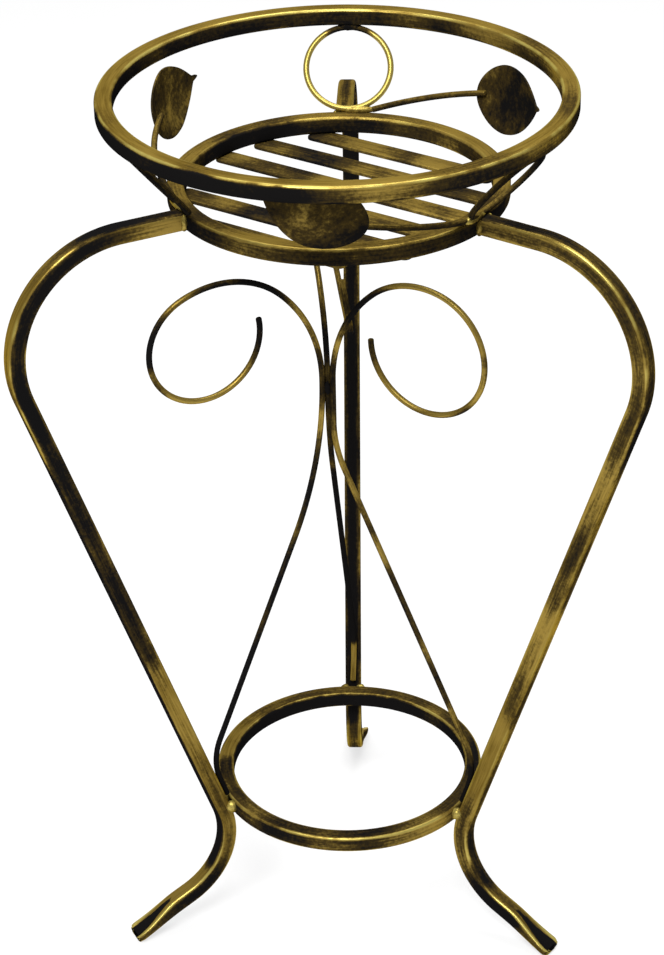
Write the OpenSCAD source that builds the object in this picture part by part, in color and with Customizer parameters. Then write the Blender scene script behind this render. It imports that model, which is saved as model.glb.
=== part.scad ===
// Plant stand with a pot basket on three bowed legs, bent and welded from
// square tube, flat strip and round wire. Millimetres, +Z up, feet on z = 0.

/* [Stock] */
// Side of the square tube of the rings and legs
tube_w = 10; // [8:0.5:14]
// Rounding of the tube's outer corners
tube_corner_r = 1.8; // [0.8:0.1:3]
// Wall thickness of the tube
tube_wall = 1.2; // [0.8:0.1:2]
// Diameter of the round wire of the scrolls, circles and stems
wire_d = 3.5; // [2.5:0.1:5]
// Thickness of the flat strip of the slats
strip_t = 2; // [1.5:0.1:4]
// Thickness of the sheet of the leaves
sheet_t = 1; // [0.6:0.1:2]
// Gap left where two pieces meet
fit_gap = 0.1; // [0.05:0.05:0.3]

/* [Basket] */
// Height of the rim's top face
rim_top = 530; // [480:1:600]
// Outer diameter of the rim
rim_d = 264; // [240:1:300]
// Height of the seat ring's top face
seat_top = 478; // [440:1:490]
// Outer diameter of the seat ring
seat_d = 190; // [170:1:210]
// Number of slats under the pot
slat_count = 6; // [4:1:7]
// Width of a slat
slat_w = 14; // [8:0.5:18]
// Spacing of the slats
slat_pitch = 27; // [22:0.5:30]
// Direction that the slats run in
slat_angle = -32; // [-60:1:60]
// Shift of the slats across the ring
slat_shift = -3.5; // [-5:0.5:5]
// Distance of a slat's end inside the seat ring's outer face
slat_inset = 6; // [3:0.5:8]

/* [Legs] */
// Reach of a leg's outer face from the stand's axis
leg_reach = 201; // [180:1:230]
// Bend radius of a leg's shoulder, at the tube's middle
shoulder_r = 65; // [50:1:80]
// Bend radius of a leg's knee, at the tube's middle
knee_r = 45; // [35:1:60]
// Distance of the knee's inner face from the stand's axis
knee_reach = 80; // [70:1:90]
// Height of the knee bend's centre
knee_z = 63; // [60:1:68]
// Slope of a foot below the horizontal
foot_slope = 24; // [18:1:35]
// Bearings of the right, left and back leg
leg_bearings = [326.6, 208.6, 90]; // [0:0.1:360]
// Height of the lower ring's top face
low_ring_top = 85; // [82:1:110]

/* [Circles] */
// Distance of a circle's foot inside the seat ring's outer face
circle_foot_inset = 1; // [0:0.5:4]
// Distance of a circle's head inside the rim's outer face
circle_head_inset = 7; // [5:0.5:9]
// Turn of the right, left and back circle past their legs
circle_turn = [0, 0, -1.3]; // [-3:0.1:3]

/* [Stems and leaves] */
// Bearing of a stem's start, before its circle
stem_start = 9; // [8.5:0.5:14]
// Bearing of the right, left and back stem's end, before its circle
stem_end = [51, 51, 47.5]; // [46:0.5:56]
// Rise of a stem's end above the seat ring's top face
stem_rise = 20; // [12:1:26]
// Length of a leaf
leaf_l = 61; // [45:1:66]
// Width of a leaf
leaf_w = 39; // [28:1:42]
// Radius of the dish that a leaf is pressed to
leaf_dish_r = 110; // [80:5:200]
// Length of stem that lies on a leaf
leaf_lap = 8; // [4:1:14]
// Lean of the front, left and right leaf towards upright
leaf_lean = [25, 28, 29]; // [0:1:35]
// Turn of each leaf's tip towards the axis
leaf_turn = [16, 4, 15]; // [0:1:24]
// Lift of each leaf's tip in its own plane
leaf_lift = [17, 4, 0]; // [-10:1:30]

/* [Scrolls] */
// Place where the scrolls meet, from the stand's axis
throat_xy = [-8.5, 1]; // [-15:0.5:15]
// Height at which each scroll's curl leaves the throat
throat_top = 352; // [330:1:370]
// Height of the wire's lower end above the lower ring
scroll_foot_rise = 1; // [0.5:0.5:6]
// Length of wire that lies along the leg
scroll_lap = 13; // [6:1:20]
// Bend radius where the wire leaves the leg
scroll_foot_r = 40; // [25:1:60]
// Bend radii of the right, left and back scroll into the throat
scroll_neck_r = [65, 240, 130]; // [40:5:260]
// Length of the right, left and back scroll's throat
throat_l = [28, 1, 8]; // [0.5:0.5:40]
// Curl radii of the right scroll, from the throat to its free end
right_curl_r = [81, 48, 39, 37]; // [20:1:110]
// Angles of the right scroll's bends
right_curl_a = [49, 54, 97, 160]; // [20:1:180]
// Curl radii of the left scroll
left_curl_r = [85, 58, 33, 35]; // [20:1:110]
// Angles of the left scroll's bends
left_curl_a = [46, 67, 104, 154]; // [20:1:180]
// Curl radii of the back scroll
back_curl_r = [87.5, 51.5, 41, 37]; // [20:0.5:110]
// Angles of the back scroll's bends
back_curl_a = [44.5, 66.5, 105, 161.5]; // [20:0.5:180]
// Twists of the back scroll ahead of each bend
back_curl_twist = [20, -18, -0.5, -8]; // [-40:0.5:40]

/* [Welds] */
// Radius of the beads between legs and seat ring
seat_bead_r = 2.4; // [1.5:0.1:3.5]
// Radius of the beads between legs and lower ring
low_bead_r = 3.4; // [2:0.1:4.5]
// Radius of the beads at the wires
wire_bead_r = 2.6; // [1.8:0.1:3.5]
// Length of the bead at the throat
throat_weld_l = 9; // [5:1:20]

/* [Hidden] */
$fn = 96;

RIGHT = 0;
LEFT = 1;
BACK = 2;

wire_r = wire_d / 2;
tube_half = tube_w / 2;
rim_r = rim_d / 2;
seat_r = seat_d / 2;
rim_under = rim_top - tube_w;
seat_under = seat_top - tube_w;

// Upright plane of a leg: reach from the axis, then height.
leg_z = seat_top - tube_half;
leg_start = seat_r + fit_gap;
shoulder_s = leg_reach - tube_half - shoulder_r;
shoulder_z = leg_z - shoulder_r;
knee_s = knee_reach + tube_half + knee_r;
leg_bends = shoulder_r + knee_r;
bend_span = [shoulder_s - knee_s, shoulder_z - knee_z];
leg_lean = atan2(bend_span[0], bend_span[1]) + asin(leg_bends / norm(bend_span));
leg_run = sqrt(bend_span * bend_span - leg_bends * leg_bends);
foot_end_z = tube_half * cos(foot_slope);
foot_run = (knee_z - knee_r * cos(foot_slope) - foot_end_z) / sin(foot_slope);
// Bends of a bar: straight run, turn about it, bend radius, bend angle.
leg_bend_list = [
    [shoulder_s - leg_start, 0, shoulder_r, 90 + leg_lean],
    [leg_run, 180, knee_r, 90 + leg_lean - foot_slope],
    [foot_run, 0, 0, 0]
];

// Reach of a line that keeps the distance d inside a leg's inner face.
function inside_leg(z, d) =
    let (reach = knee_r + tube_half + d, rise = z - knee_z)
    rise < reach * sin(leg_lean)
        ? knee_s - sqrt(reach * reach - rise * rise)
        : knee_s - (reach - rise * sin(leg_lean)) / cos(leg_lean);

// The lower ring bears on the legs with its rounded outer corners.
low_ring_r = tube_corner_r + min(
    inside_leg(low_ring_top - tube_w + tube_corner_r, tube_corner_r + fit_gap),
    inside_leg(low_ring_top - tube_corner_r, tube_corner_r + fit_gap));

// The middle of the plan, which stands over the model's origin.
leg_corners = [
    for (bearing = leg_bearings, side = [-1, 1])
    let (s = leg_reach - tube_corner_r, t = side * (tube_half - tube_corner_r))
    [s * cos(bearing) - t * sin(bearing), s * sin(bearing) + t * cos(bearing)]
];
function plan_low(n) = min(-rim_r, min([for (p = leg_corners) p[n]]) - tube_corner_r);
function plan_high(n) = max(rim_r, max([for (p = leg_corners) p[n]]) + tube_corner_r);
plan_middle = [for (n = [0, 1]) (plan_low(n) + plan_high(n)) / 2];

// Circles and stems lie on the basket's cone, from circle foot to circle head.
foot_s = seat_r - circle_foot_inset;
foot_z = seat_top + wire_r + fit_gap;
head_s = rim_r - circle_head_inset;
head_z = rim_under - wire_r - fit_gap;
basket_slope = atan2(head_z - foot_z, head_s - foot_s);
circle_r = norm([head_s - foot_s, head_z - foot_z]) / 2;
function basket_s(z) = foot_s + (z - foot_z) / tan(basket_slope);
stem_end_z = seat_top + stem_rise;
lap_bearing = leaf_lap / basket_s(stem_end_z) * 180 / PI;
function stem_z(which, bearing) =
    foot_z + (stem_end_z - foot_z) * (bearing - stem_start) / (stem_end[which] - stem_start);
function basket_point(bearing, z) = [basket_s(z) * cos(bearing), basket_s(z) * sin(bearing), z];

// Scrolls: a wire from the leg's inner face to the throat, then its curl.
scroll_z = low_ring_top + scroll_foot_rise + wire_r;
scroll_s = inside_leg(scroll_z, wire_r + fit_gap);
throat_reach = [wire_d + fit_gap, wire_d + fit_gap, 0];
curl_r = [right_curl_r, left_curl_r, back_curl_r];
curl_a = [right_curl_a, left_curl_a, back_curl_a];
curl_twist = [[0, 0, 0, 0], [0, 0, 0, 0], back_curl_twist];
function leg_point(bearing, s) = [s * cos(bearing), s * sin(bearing)];
function scroll_span(which) = leg_point(leg_bearings[which], scroll_s) - throat_xy;
function scroll_bearing(which) =
    let (span = scroll_span(which), bearing = atan2(span[1], span[0]))
    bearing < 0 ? bearing + 360 : bearing;
function scroll_bends(which) =
    let (
        neck_r = scroll_neck_r[which],
        bends = scroll_foot_r + neck_r,
        lean = [sin(leg_lean), cos(leg_lean)],
        foot_middle = [norm(scroll_span(which)), scroll_z] + scroll_lap * lean
            + scroll_foot_r * [-lean[1], lean[0]],
        neck_middle = [throat_reach[which] + neck_r, throat_top - throat_l[which]],
        span = neck_middle - foot_middle,
        lean_in = asin(bends / norm(span)) - atan2(span[0], span[1]),
        run = sqrt(span * span - bends * bends)
    )
    concat(
        [[scroll_lap, 180, scroll_foot_r, leg_lean + lean_in], [run, 180, neck_r, lean_in]],
        [for (n = [0:3])
            [n == 0 ? throat_l[which] : 0, curl_twist[which][n], curl_r[which][n], curl_a[which][n]]]
    );

// Leaf outline: a round heel at 0, a blade, and a small nib that ends at leaf_l.
blade_share = 0.93;
blade_power = 2;
nib_w = 0.22;
leaf_points = 24;
function leaf_shape(t) =
    sqrt(t) * (1 - pow(min(t / blade_share, 1), blade_power)) + nib_w * sqrt(t * (1 - t));
leaf_shares = [for (n = [0:leaf_points]) (1 - cos(180 * n / leaf_points)) / 2];
widest = max([for (t = leaf_shares) leaf_shape(t)]);
function leaf_half(t) = leaf_w / 2 * leaf_shape(t) / widest;
leaf_outline = concat(
    [for (n = [0:leaf_points]) [leaf_shares[n] * leaf_l, leaf_half(leaf_shares[n])]],
    [for (n = [leaf_points - 1:-1:1]) [leaf_shares[n] * leaf_l, -leaf_half(leaf_shares[n])]]
);
leaf_depth = leaf_l / 4;

weld_gap = fit_gap / 2;

// Growth of a section at a joint of a bent bar, and how far the slim side reaches in.
$swell = 0;
joint_step = 0.01;
joint_lap = 0.4;

// ---- Shared forms ----

module stand() {
    translate([-plan_middle[0], -plan_middle[1], 0]) children();
}

// Square section with rounded corners, about its middle.
module tube_section(side, corner) {
    flat = side - 2 * corner;
    across = side + 2 * $swell;
    square([across, flat], center = true);
    square([flat, across], center = true);
    for (x = [-1, 1], y = [-1, 1])
        translate([x * flat / 2, y * flat / 2]) circle(corner + $swell, $fn = 32);
}

module tube_bore() {
    tube_section(tube_w - 2 * tube_wall, max(tube_corner_r - tube_wall, 0.3));
}

// A bar along +Z that bends towards +X, stretch by stretch. Where two meet,
// the slim one reaches into the other, whose section is swollen by joint_step.
module bent_bar(bends, n = 0, swollen = false) {
    if (n < len(bends)) {
        run = bends[n][0];
        radius = bends[n][2];
        angle = bends[n][3];
        last = n == len(bends) - 1;
        before = n == 0 ? 0 : joint_lap;
        after = last && angle == 0 ? 0 : joint_lap;
        if (run > 0)
            translate([0, 0, -before]) linear_extrude(before + run + after) children($swell = 0);
        swells = run > 0 || !swollen;
        if (angle > 0)
            translate([0, 0, run]) rotate(bends[n][1])
                bar_arc(radius, angle, swells ? 0 : joint_lap, swells || last ? 0 : joint_lap)
                    children($swell = swells ? joint_step : 0);
        translate([0, 0, run]) rotate(bends[n][1])
            translate([radius * (1 - cos(angle)), 0, radius * sin(angle)])
                rotate([0, angle, 0]) bent_bar(bends, n + 1, swells) children();
    }
}

// An arc from +Z towards +X that starts and ends a little before and after.
module bar_arc(radius, angle, before, after) {
    turn = 180 / PI / radius;
    translate([radius, 0, 0]) rotate([90, before * turn, 180])
        rotate_extrude(angle = angle + (before + after) * turn)
            translate([radius, 0]) children();
}

module tube_ring(outer_r, top) {
    translate([0, 0, top - tube_half]) rotate_extrude()
        translate([outer_r - tube_half, 0]) difference() {
            tube_section(tube_w, tube_corner_r);
            tube_bore();
        }
}

module at_leg(which) {
    rotate(leg_bearings[which]) children();
}

module at_circle(which) {
    at_leg(which) rotate(circle_turn[which]) children();
}

module leg_bar(side, corner) {
    translate([leg_start, 0, leg_z]) rotate([0, 90, 0])
        bent_bar(leg_bend_list) tube_section(side, corner);
}

module leg_hole() {
    past = 1;
    longer = [
        [leg_bend_list[0][0] + past, 0, shoulder_r, leg_bend_list[0][3]],
        leg_bend_list[1],
        [foot_run + past, 0, 0, 0]
    ];
    translate([leg_start - past, 0, leg_z]) rotate([0, 90, 0]) bent_bar(longer) tube_bore();
}

// Round wire on the arc from a through b to c.
module wire_arc(a, b, c, d) {
    ab = b - a;
    ac = c - a;
    across = cross(ab, ac);
    middle = a + (cross(across, ab) * (ac * ac) + cross(ac, across) * (ab * ab))
        / (2 * across * across);
    radius = norm(a - middle);
    out = (a - middle) / radius;
    axis = across / norm(across);
    side = cross(axis, out);
    sweep = acos((a - middle) * (c - middle) / (radius * radius));
    translate(middle)
        rotate([atan2(side[2], axis[2]), -asin(out[2]), atan2(out[1], out[0])])
            rotate_extrude(angle = sweep) translate([radius, 0]) circle(d = d, $fn = 32);
}

// ---- Rings ----

module rim_ring() {
    color([0.55, 0.45, 0.2]) stand() tube_ring(rim_r, rim_top);
}

module seat_ring() {
    color([0.45, 0.38, 0.2]) stand() tube_ring(seat_r, seat_top);
}

module lower_ring() {
    color([0.55, 0.45, 0.2]) stand() tube_ring(low_ring_r, low_ring_top);
}

// ---- Legs ----

module leg(which) {
    color([0.6, 0.5, 0.22]) stand() at_leg(which) difference() {
        leg_bar(tube_w, tube_corner_r);
        leg_hole();
    }
}

// ---- Slats ----

module slat(number) {
    across = ((slat_count + 1) / 2 - number) * slat_pitch + slat_shift;
    half = sqrt(pow(seat_r - slat_inset, 2) - across * across);
    color([0.5, 0.42, 0.2]) stand() rotate(slat_angle)
        translate([-half, across - slat_w / 2, seat_under - fit_gap - strip_t])
            cube([2 * half, slat_w, strip_t]);
}

// ---- Scrolls ----

module scroll_wire(which, d) {
    start = leg_point(leg_bearings[which], scroll_s);
    translate([start[0], start[1], scroll_z]) rotate(scroll_bearing(which))
        rotate([0, leg_lean, 0]) bent_bar(scroll_bends(which)) circle(d = d + 2 * $swell, $fn = 32);
}

module scroll(which) {
    color([0.5, 0.4, 0.2]) stand() scroll_wire(which, wire_d);
}

// ---- Circles ----

module circle_wire(d) {
    translate([(foot_s + head_s) / 2, 0, (foot_z + head_z) / 2]) rotate([0, -basket_slope, 0])
        rotate_extrude() translate([circle_r, 0]) circle(d = d, $fn = 32);
}

module wire_circle(which) {
    color([0.75, 0.68, 0.3]) stand() at_circle(which) circle_wire(wire_d);
}

// ---- Stems and leaves ----

module stem_wire(which, d) {
    middle = (stem_start + stem_end[which]) / 2;
    wire_arc(
        basket_point(-stem_start, foot_z),
        basket_point(-middle, stem_z(which, middle)),
        basket_point(-stem_end[which], stem_end_z),
        d);
}

module stem(which) {
    color([0.65, 0.58, 0.3]) stand() at_circle(which) stem_wire(which, wire_d);
}

// Dished sheet: heel at the origin, tip along +X, hollow side up.
module leaf_sheet() {
    dish_z = sqrt(leaf_dish_r * leaf_dish_r - leaf_l * leaf_l / 4);
    intersection() {
        translate([0, 0, -leaf_depth]) linear_extrude(leaf_depth + sheet_t) polygon(leaf_outline);
        translate([leaf_l / 2, 0, dish_z]) difference() {
            sphere(leaf_dish_r + sheet_t);
            sphere(leaf_dish_r);
        }
    }
}

// The leaf on the right, left and back circle's stem is the front, left and right one.
module leaf(which) {
    heel = stem_end[which] - lap_bearing;
    at = basket_point(-heel, stem_z(which, heel));
    color([0.2, 0.17, 0.1]) stand() at_circle(which)
        translate(at) rotate(-heel) rotate([0, -basket_slope, 0]) rotate(-90)
            rotate([leaf_lean[which], -leaf_turn[which], leaf_lift[which]])
                translate([0, 0, -wire_r - fit_gap]) leaf_sheet();
}

// ---- Welds ----

// Bead with round ends, between two heights.
module bead(radius, low, high) {
    translate([0, 0, low + radius]) sphere(radius, $fn = 32);
    translate([0, 0, high - radius]) sphere(radius, $fn = 32);
    translate([0, 0, low + radius]) cylinder(h = high - low - 2 * radius, r = radius, $fn = 32);
}

// Two beads that fill the corners between a ring's face and a leg's sides.
module corner_beads(ring_outer_r, radius, low, high) {
    difference() {
        for (side = [-1, 1])
            translate([ring_outer_r + radius / 3, side * tube_half, 0]) bead(radius, low, high);
        translate([0, 0, low]) cylinder(h = high - low, r = ring_outer_r + weld_gap, $fn = 360);
        translate([ring_outer_r - tube_half, -tube_half - weld_gap, low])
            cube([tube_w, tube_w + 2 * weld_gap, high - low]);
    }
}

module seat_ring_welds() {
    color([0.7, 0.62, 0.4]) stand() for (which = [RIGHT, LEFT, BACK])
        at_leg(which) corner_beads(seat_r, seat_bead_r, seat_under, seat_top);
}

module lower_ring_welds() {
    middle = low_ring_top - tube_half;
    color([0.75, 0.66, 0.3]) stand() for (which = [RIGHT, LEFT, BACK])
        at_leg(which)
            corner_beads(low_ring_r, low_bead_r, middle - low_bead_r, middle + low_bead_r * 4 / 3);
}

// A bead along a ring, cut to the circle's wire and to the ring.
module wire_bead(s, z, first, last) {
    translate([s, 0, z]) rotate([-90, 0, 0]) bead(wire_bead_r, first, last);
}

module circle_foot_welds() {
    far = foot_s * sin(stem_start) + wire_r;
    color([0.25, 0.2, 0.1]) stand() for (which = [RIGHT, LEFT, BACK]) at_circle(which)
        difference() {
            wire_bead(foot_s, seat_top + wire_bead_r / 2, -far, wire_d);
            translate([0, 0, seat_under]) cylinder(h = tube_w + weld_gap, r = rim_r);
            circle_wire(wire_d + 2 * weld_gap);
            stem_wire(which, wire_d + 2 * weld_gap);
        }
}

module circle_head_welds() {
    color([0.25, 0.2, 0.1]) stand() for (which = [RIGHT, LEFT, BACK]) at_circle(which)
        difference() {
            wire_bead(head_s, rim_under - wire_bead_r / 2, -wire_d * 2, wire_d * 2);
            translate([0, 0, rim_under - weld_gap]) cylinder(h = tube_w, r = rim_r);
            circle_wire(wire_d + 2 * weld_gap);
        }
}

// A bead in the groove that the three wires leave, as far from each.
module throat_weld() {
    right = scroll_bearing(RIGHT);
    left = scroll_bearing(LEFT);
    reach = throat_reach[RIGHT] / (2 * cos((right - left) / 2));
    middle = (right + left) / 2;
    color([0.3, 0.25, 0.12]) stand()
        translate([throat_xy[0] + reach * cos(middle), throat_xy[1] + reach * sin(middle), 0])
            bead(reach - wire_r - fit_gap, throat_top - throat_weld_l, throat_top);
}

rim_ring();
seat_ring();
lower_ring();
leg(RIGHT);  // right_leg
leg(LEFT);  // left_leg
leg(BACK);  // back_leg
slat(1);  // slat_1
slat(2);  // slat_2
slat(3);  // slat_3
slat(4);  // slat_4
slat(5);  // slat_5
slat(6);  // slat_6
scroll(RIGHT);  // right_scroll
scroll(LEFT);  // left_scroll
scroll(BACK);  // back_scroll
wire_circle(RIGHT);  // right_circle
wire_circle(LEFT);  // left_circle
wire_circle(BACK);  // back_circle
stem(RIGHT);  // right_stem
stem(LEFT);  // left_stem
stem(BACK);  // back_stem
leaf(RIGHT);  // front_leaf
leaf(LEFT);  // left_leaf
leaf(BACK);  // right_leaf
seat_ring_welds();
lower_ring_welds();
circle_foot_welds();
circle_head_welds();
throat_weld();
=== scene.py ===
"""Looks of a welded plant stand: square tube, round wire, strip and sheet leaves in antique gold."""
import math

import bpy
from bpy.props import FloatProperty, FloatVectorProperty, PointerProperty
from mathutils import Matrix, Vector, noise
from mathutils.kdtree import KDTree


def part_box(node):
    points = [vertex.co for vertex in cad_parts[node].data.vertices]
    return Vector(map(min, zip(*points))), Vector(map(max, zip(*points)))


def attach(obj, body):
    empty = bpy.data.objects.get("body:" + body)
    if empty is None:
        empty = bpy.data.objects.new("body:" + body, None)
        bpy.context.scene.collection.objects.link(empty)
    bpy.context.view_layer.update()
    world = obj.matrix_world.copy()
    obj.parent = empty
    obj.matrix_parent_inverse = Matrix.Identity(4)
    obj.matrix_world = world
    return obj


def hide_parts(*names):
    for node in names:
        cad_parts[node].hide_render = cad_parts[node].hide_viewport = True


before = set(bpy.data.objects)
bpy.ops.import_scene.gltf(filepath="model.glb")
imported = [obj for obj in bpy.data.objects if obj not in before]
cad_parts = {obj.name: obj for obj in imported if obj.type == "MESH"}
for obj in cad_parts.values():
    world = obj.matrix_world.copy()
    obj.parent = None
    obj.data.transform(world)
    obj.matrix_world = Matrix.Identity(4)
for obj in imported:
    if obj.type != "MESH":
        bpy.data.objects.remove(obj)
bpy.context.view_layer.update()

bl_info = {
    "name": "Antique Gold Plant Stand",
    "version": (1, 0, 0),
    "blender": (4, 5, 0),
    "location": "View3D > Sidebar > Plant Stand",
    "description": "Models the stand's tubes, wires, slats, leaves and welds, and its stage",
    "category": "Add Mesh",
}

MM = 0.001
BODY = "root"
LEGS = ("right", "left", "back")
LEAVES = ("front", "left", "right")
SLAT_COUNT = 6
QUARTER = math.radians(90)


def length(name, about, millimetres):
    """A length property whose default is given in millimetres."""
    return FloatProperty(name=name, description=about, default=millimetres * MM, unit="LENGTH", precision=4)


def lengths(name, about, *millimetres):
    """Lengths for the three legs' pieces, for a curl's bends, or along X and Y."""
    values = [value * MM for value in millimetres]
    return FloatVectorProperty(name=name, description=about, default=values, size=len(values),
                               unit="LENGTH", precision=4)


def angle(name, about, degrees):
    """An angle property whose default is given in degrees."""
    return FloatProperty(name=name, description=about, default=math.radians(degrees), subtype="ANGLE")


def angles(name, about, *degrees):
    """Angles for the three legs' pieces, for the leaves, or for a curl's bends."""
    values = [math.radians(value) for value in degrees]
    return FloatVectorProperty(name=name, description=about, default=values, size=len(values),
                               unit="ROTATION")


def colour(name, about, *rgb):
    """A colour property, in linear light."""
    return FloatVectorProperty(name=name, description=about, default=rgb, size=3, subtype="COLOR",
                               min=0.0, max=1.0)


class StandStock(bpy.types.PropertyGroup):
    """Stock that the stand is welded from."""

    tube_w: length("Tube width", "Width of the square tube", 10)
    tube_corner: length("Tube corner", "Outer corner radius of the square tube", 1.8)
    wire_d: length("Wire", "Diameter of the round wire", 3.5)
    cut_round: length("Cut rounding", "Rounding of a cut wire's or foot's end", 0.7)
    strip_w: length("Strip width", "Width of a slat", 14)
    strip_t: length("Strip", "Thickness of a slat", 2)
    strip_edge: length("Strip edge", "Rounding of a slat's rolled edges", 0.45)
    strip_corner: length("Strip corner", "Rounding of a slat's snipped corners", 4)
    sheet_t: length("Sheet", "Thickness of a leaf", 1)
    fit_gap: length("Fit gap", "Gap between two pieces that are welded", 0.1)


class StandFrame(bpy.types.PropertyGroup):
    """Rings, legs and slats."""

    rim_top: length("Rim height", "Height of the rim ring's top face", 530)
    rim_d: length("Rim diameter", "Outer diameter of the rim ring", 264)
    seat_top: length("Seat height", "Height of the seat ring's top face", 478)
    seat_d: length("Seat diameter", "Outer diameter of the seat ring", 190)
    low_ring_top: length("Lower ring height", "Height of the lower ring's top face", 85)
    leg_reach: length("Leg reach", "Greatest distance of a leg from the stand's axis", 201)
    shoulder_r: length("Shoulder", "Bend radius of a leg's shoulder", 65)
    knee_r: length("Knee", "Bend radius of a leg's knee", 45)
    knee_reach: length("Knee reach", "Distance of the knee's inner face from the axis", 80)
    knee_z: length("Knee height", "Height of the knee's bend middle", 63)
    foot_slope: angle("Foot slope", "Slope of a foot to the floor", 24)
    pinch_l: length("Pinch length", "Length of a foot's end that is pressed shut", 34)
    pinch_depth: length("Pinch depth", "Depth of the dent at a foot's end", 7.2)
    pinch_flare: length("Pinch flare", "Growth of a pressed end on each side", 2.5)
    pinch_sweep: length("Pinch sweep", "Setting back of a pressed end's two sides", 1.6)
    bearings: angles("Leg bearings", "Bearing of the right, left and back leg", 326.6, 208.6, 90)
    slat_pitch: length("Slat pitch", "Distance between the slats' middles", 27)
    slat_angle: angle("Slat angle", "Turn of the slats", -32)
    slat_shift: length("Slat shift", "Shift of the slats across the seat", -3.5)
    slat_inset: length("Slat inset", "Distance of a slat's ends inside the seat ring", 6)


class StandScrolls(bpy.types.PropertyGroup):
    """Wire scrolls from the legs to the throat, and their curls."""

    throat: lengths("Throat", "Place where the scrolls meet, from the axis", -8.5, 1)
    throat_top: length("Throat height", "Height at which the curls leave the throat", 352)
    foot_rise: length("Foot rise", "Height of a scroll's foot above the lower ring", 1)
    lap: length("Lap", "Length of wire along the leg", 13)
    foot_r: length("Foot bend", "Bend radius where the wire leaves the leg", 40)
    neck_r: lengths("Neck bends", "Bend radius of each scroll into the throat", 65, 240, 130)
    throat_l: lengths("Throat runs", "Straight wire of each scroll at the throat", 28, 1, 8)
    right_curl_r: lengths("Right curl", "Bend radii of the right curl", 81, 48, 39, 37)
    right_curl_a: angles("Right curl angles", "Bend angles of the right curl", 49, 54, 97, 160)
    left_curl_r: lengths("Left curl", "Bend radii of the left curl", 85, 58, 33, 35)
    left_curl_a: angles("Left curl angles", "Bend angles of the left curl", 46, 67, 104, 154)
    back_curl_r: lengths("Back curl", "Bend radii of the back curl", 87.5, 51.5, 41, 37)
    back_curl_a: angles("Back curl angles", "Bend angles of the back curl", 44.5, 66.5, 105, 161.5)
    back_twist: angles("Back curl twist", "Turn of the back curl before each bend", 20, -18, -0.5, -8)


class StandBasket(bpy.types.PropertyGroup):
    """Circles, stems and leaves between the seat ring and the rim."""

    circle_foot_inset: length("Circle foot", "Circle's foot inside the seat ring's face", 1)
    circle_head_inset: length("Circle head", "Circle's head inside the rim's face", 7)
    circle_turn: angles("Circle turn", "Turn of each circle past its leg", 0, 0, -1.3)
    stem_start: angle("Stem start", "Bearing of a stem's start, before its circle", 9)
    stem_end: angles("Stem ends", "Bearing of each stem's end, before its circle", 51, 51, 47.5)
    stem_rise: length("Stem rise", "Rise of a stem's end above the seat ring", 20)
    leaf_l: length("Leaf length", "Length of a leaf", 61)
    leaf_w: length("Leaf width", "Width of a leaf", 39)
    leaf_dish_r: length("Leaf dish", "Radius that a leaf is pressed to", 110)
    leaf_lap: length("Leaf lap", "Stem that lies on a leaf", 8)
    leaf_lean: angles("Leaf lean", "Lean of the front, left and right leaf towards upright", 25, 28, 29)
    leaf_turn: angles("Leaf turn", "Turn of each leaf's tip towards the axis", 16, 4, 15)
    leaf_lift: angles("Leaf lift", "Lift of each leaf's tip in its own plane", 17, 4, 0)


class StandWelds(bpy.types.PropertyGroup):
    """Sizes of the weld beads."""

    seat_bead_r: length("Seat bead", "Radius of the beads at the seat ring", 2.0)
    low_bead_r: length("Lower bead", "Radius of the beads at the lower ring", 3.4)
    wire_bead_r: length("Wire bead", "Radius of the beads at the wires", 2.6)
    lump: length("Lumps", "Height of the lumps on a bead", 0.5)


class StandFinish(bpy.types.PropertyGroup):
    """Colours of the dry-brushed finish, in linear light."""

    lacquer: colour("Lacquer", "Black lacquer under the gold", 0.0062, 0.0058, 0.0058)
    umber: colour("Umber", "Thin gold over black", 0.036, 0.0240, 0.0072)
    old_gold: colour("Old gold", "Gold where the brush left less", 0.128, 0.082, 0.0140)
    gold: colour("Gold", "Full antique gold", 0.250, 0.170, 0.036)
    # Bright gold stands for gold from rubbing on edges and beads, and also for their painted highlight.
    rubbed_and_highlight_gold: colour("Bright gold", "Rubbed gold on edges and beads", 0.530, 0.445, 0.120)
    floor: colour("Floor", "Pale studio floor", 0.90, 0.90, 0.90)


class StandStage(bpy.types.PropertyGroup):
    """Camera and lights."""

    lens: FloatProperty(name="Lens", description="Focal length of the camera in millimetres",
                        default=104.7, subtype="DISTANCE_CAMERA")
    distance: length("Distance", "Distance of the camera from its target", 1627.6)
    bearing: angle("Bearing", "Turn of the camera to the right of the stand's front", 2.603)
    elevation: angle("Elevation", "Height angle of the camera", 29.766)
    roll: angle("Roll", "Roll of the camera", -1.201)
    target_side: length("Target side", "Place of the target across the view, from the axis", -7.11)
    target_z: length("Target height", "Height of the target", 286.9)


def sizes(group):
    """The named property group of this scene."""
    return getattr(bpy.context.scene, "stand_" + group)


# ---- Frames and derived places ----

def turned(turn, axis="Z"):
    return Matrix.Rotation(turn, 4, axis)


def moved(x=0.0, y=0.0, z=0.0):
    return Matrix.Translation((x, y, z))


def stand_axis():
    """Place of the rings' common axis in the model's frame."""
    low, high = (Vector(corner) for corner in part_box("rim_ring"))
    middle = (low + high) / 2
    return moved(middle.x, middle.y)


def leg_frame(which):
    """Frame of a leg's upright plane: X outwards, Z up."""
    return stand_axis() @ turned(sizes("frame").bearings[which])


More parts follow.
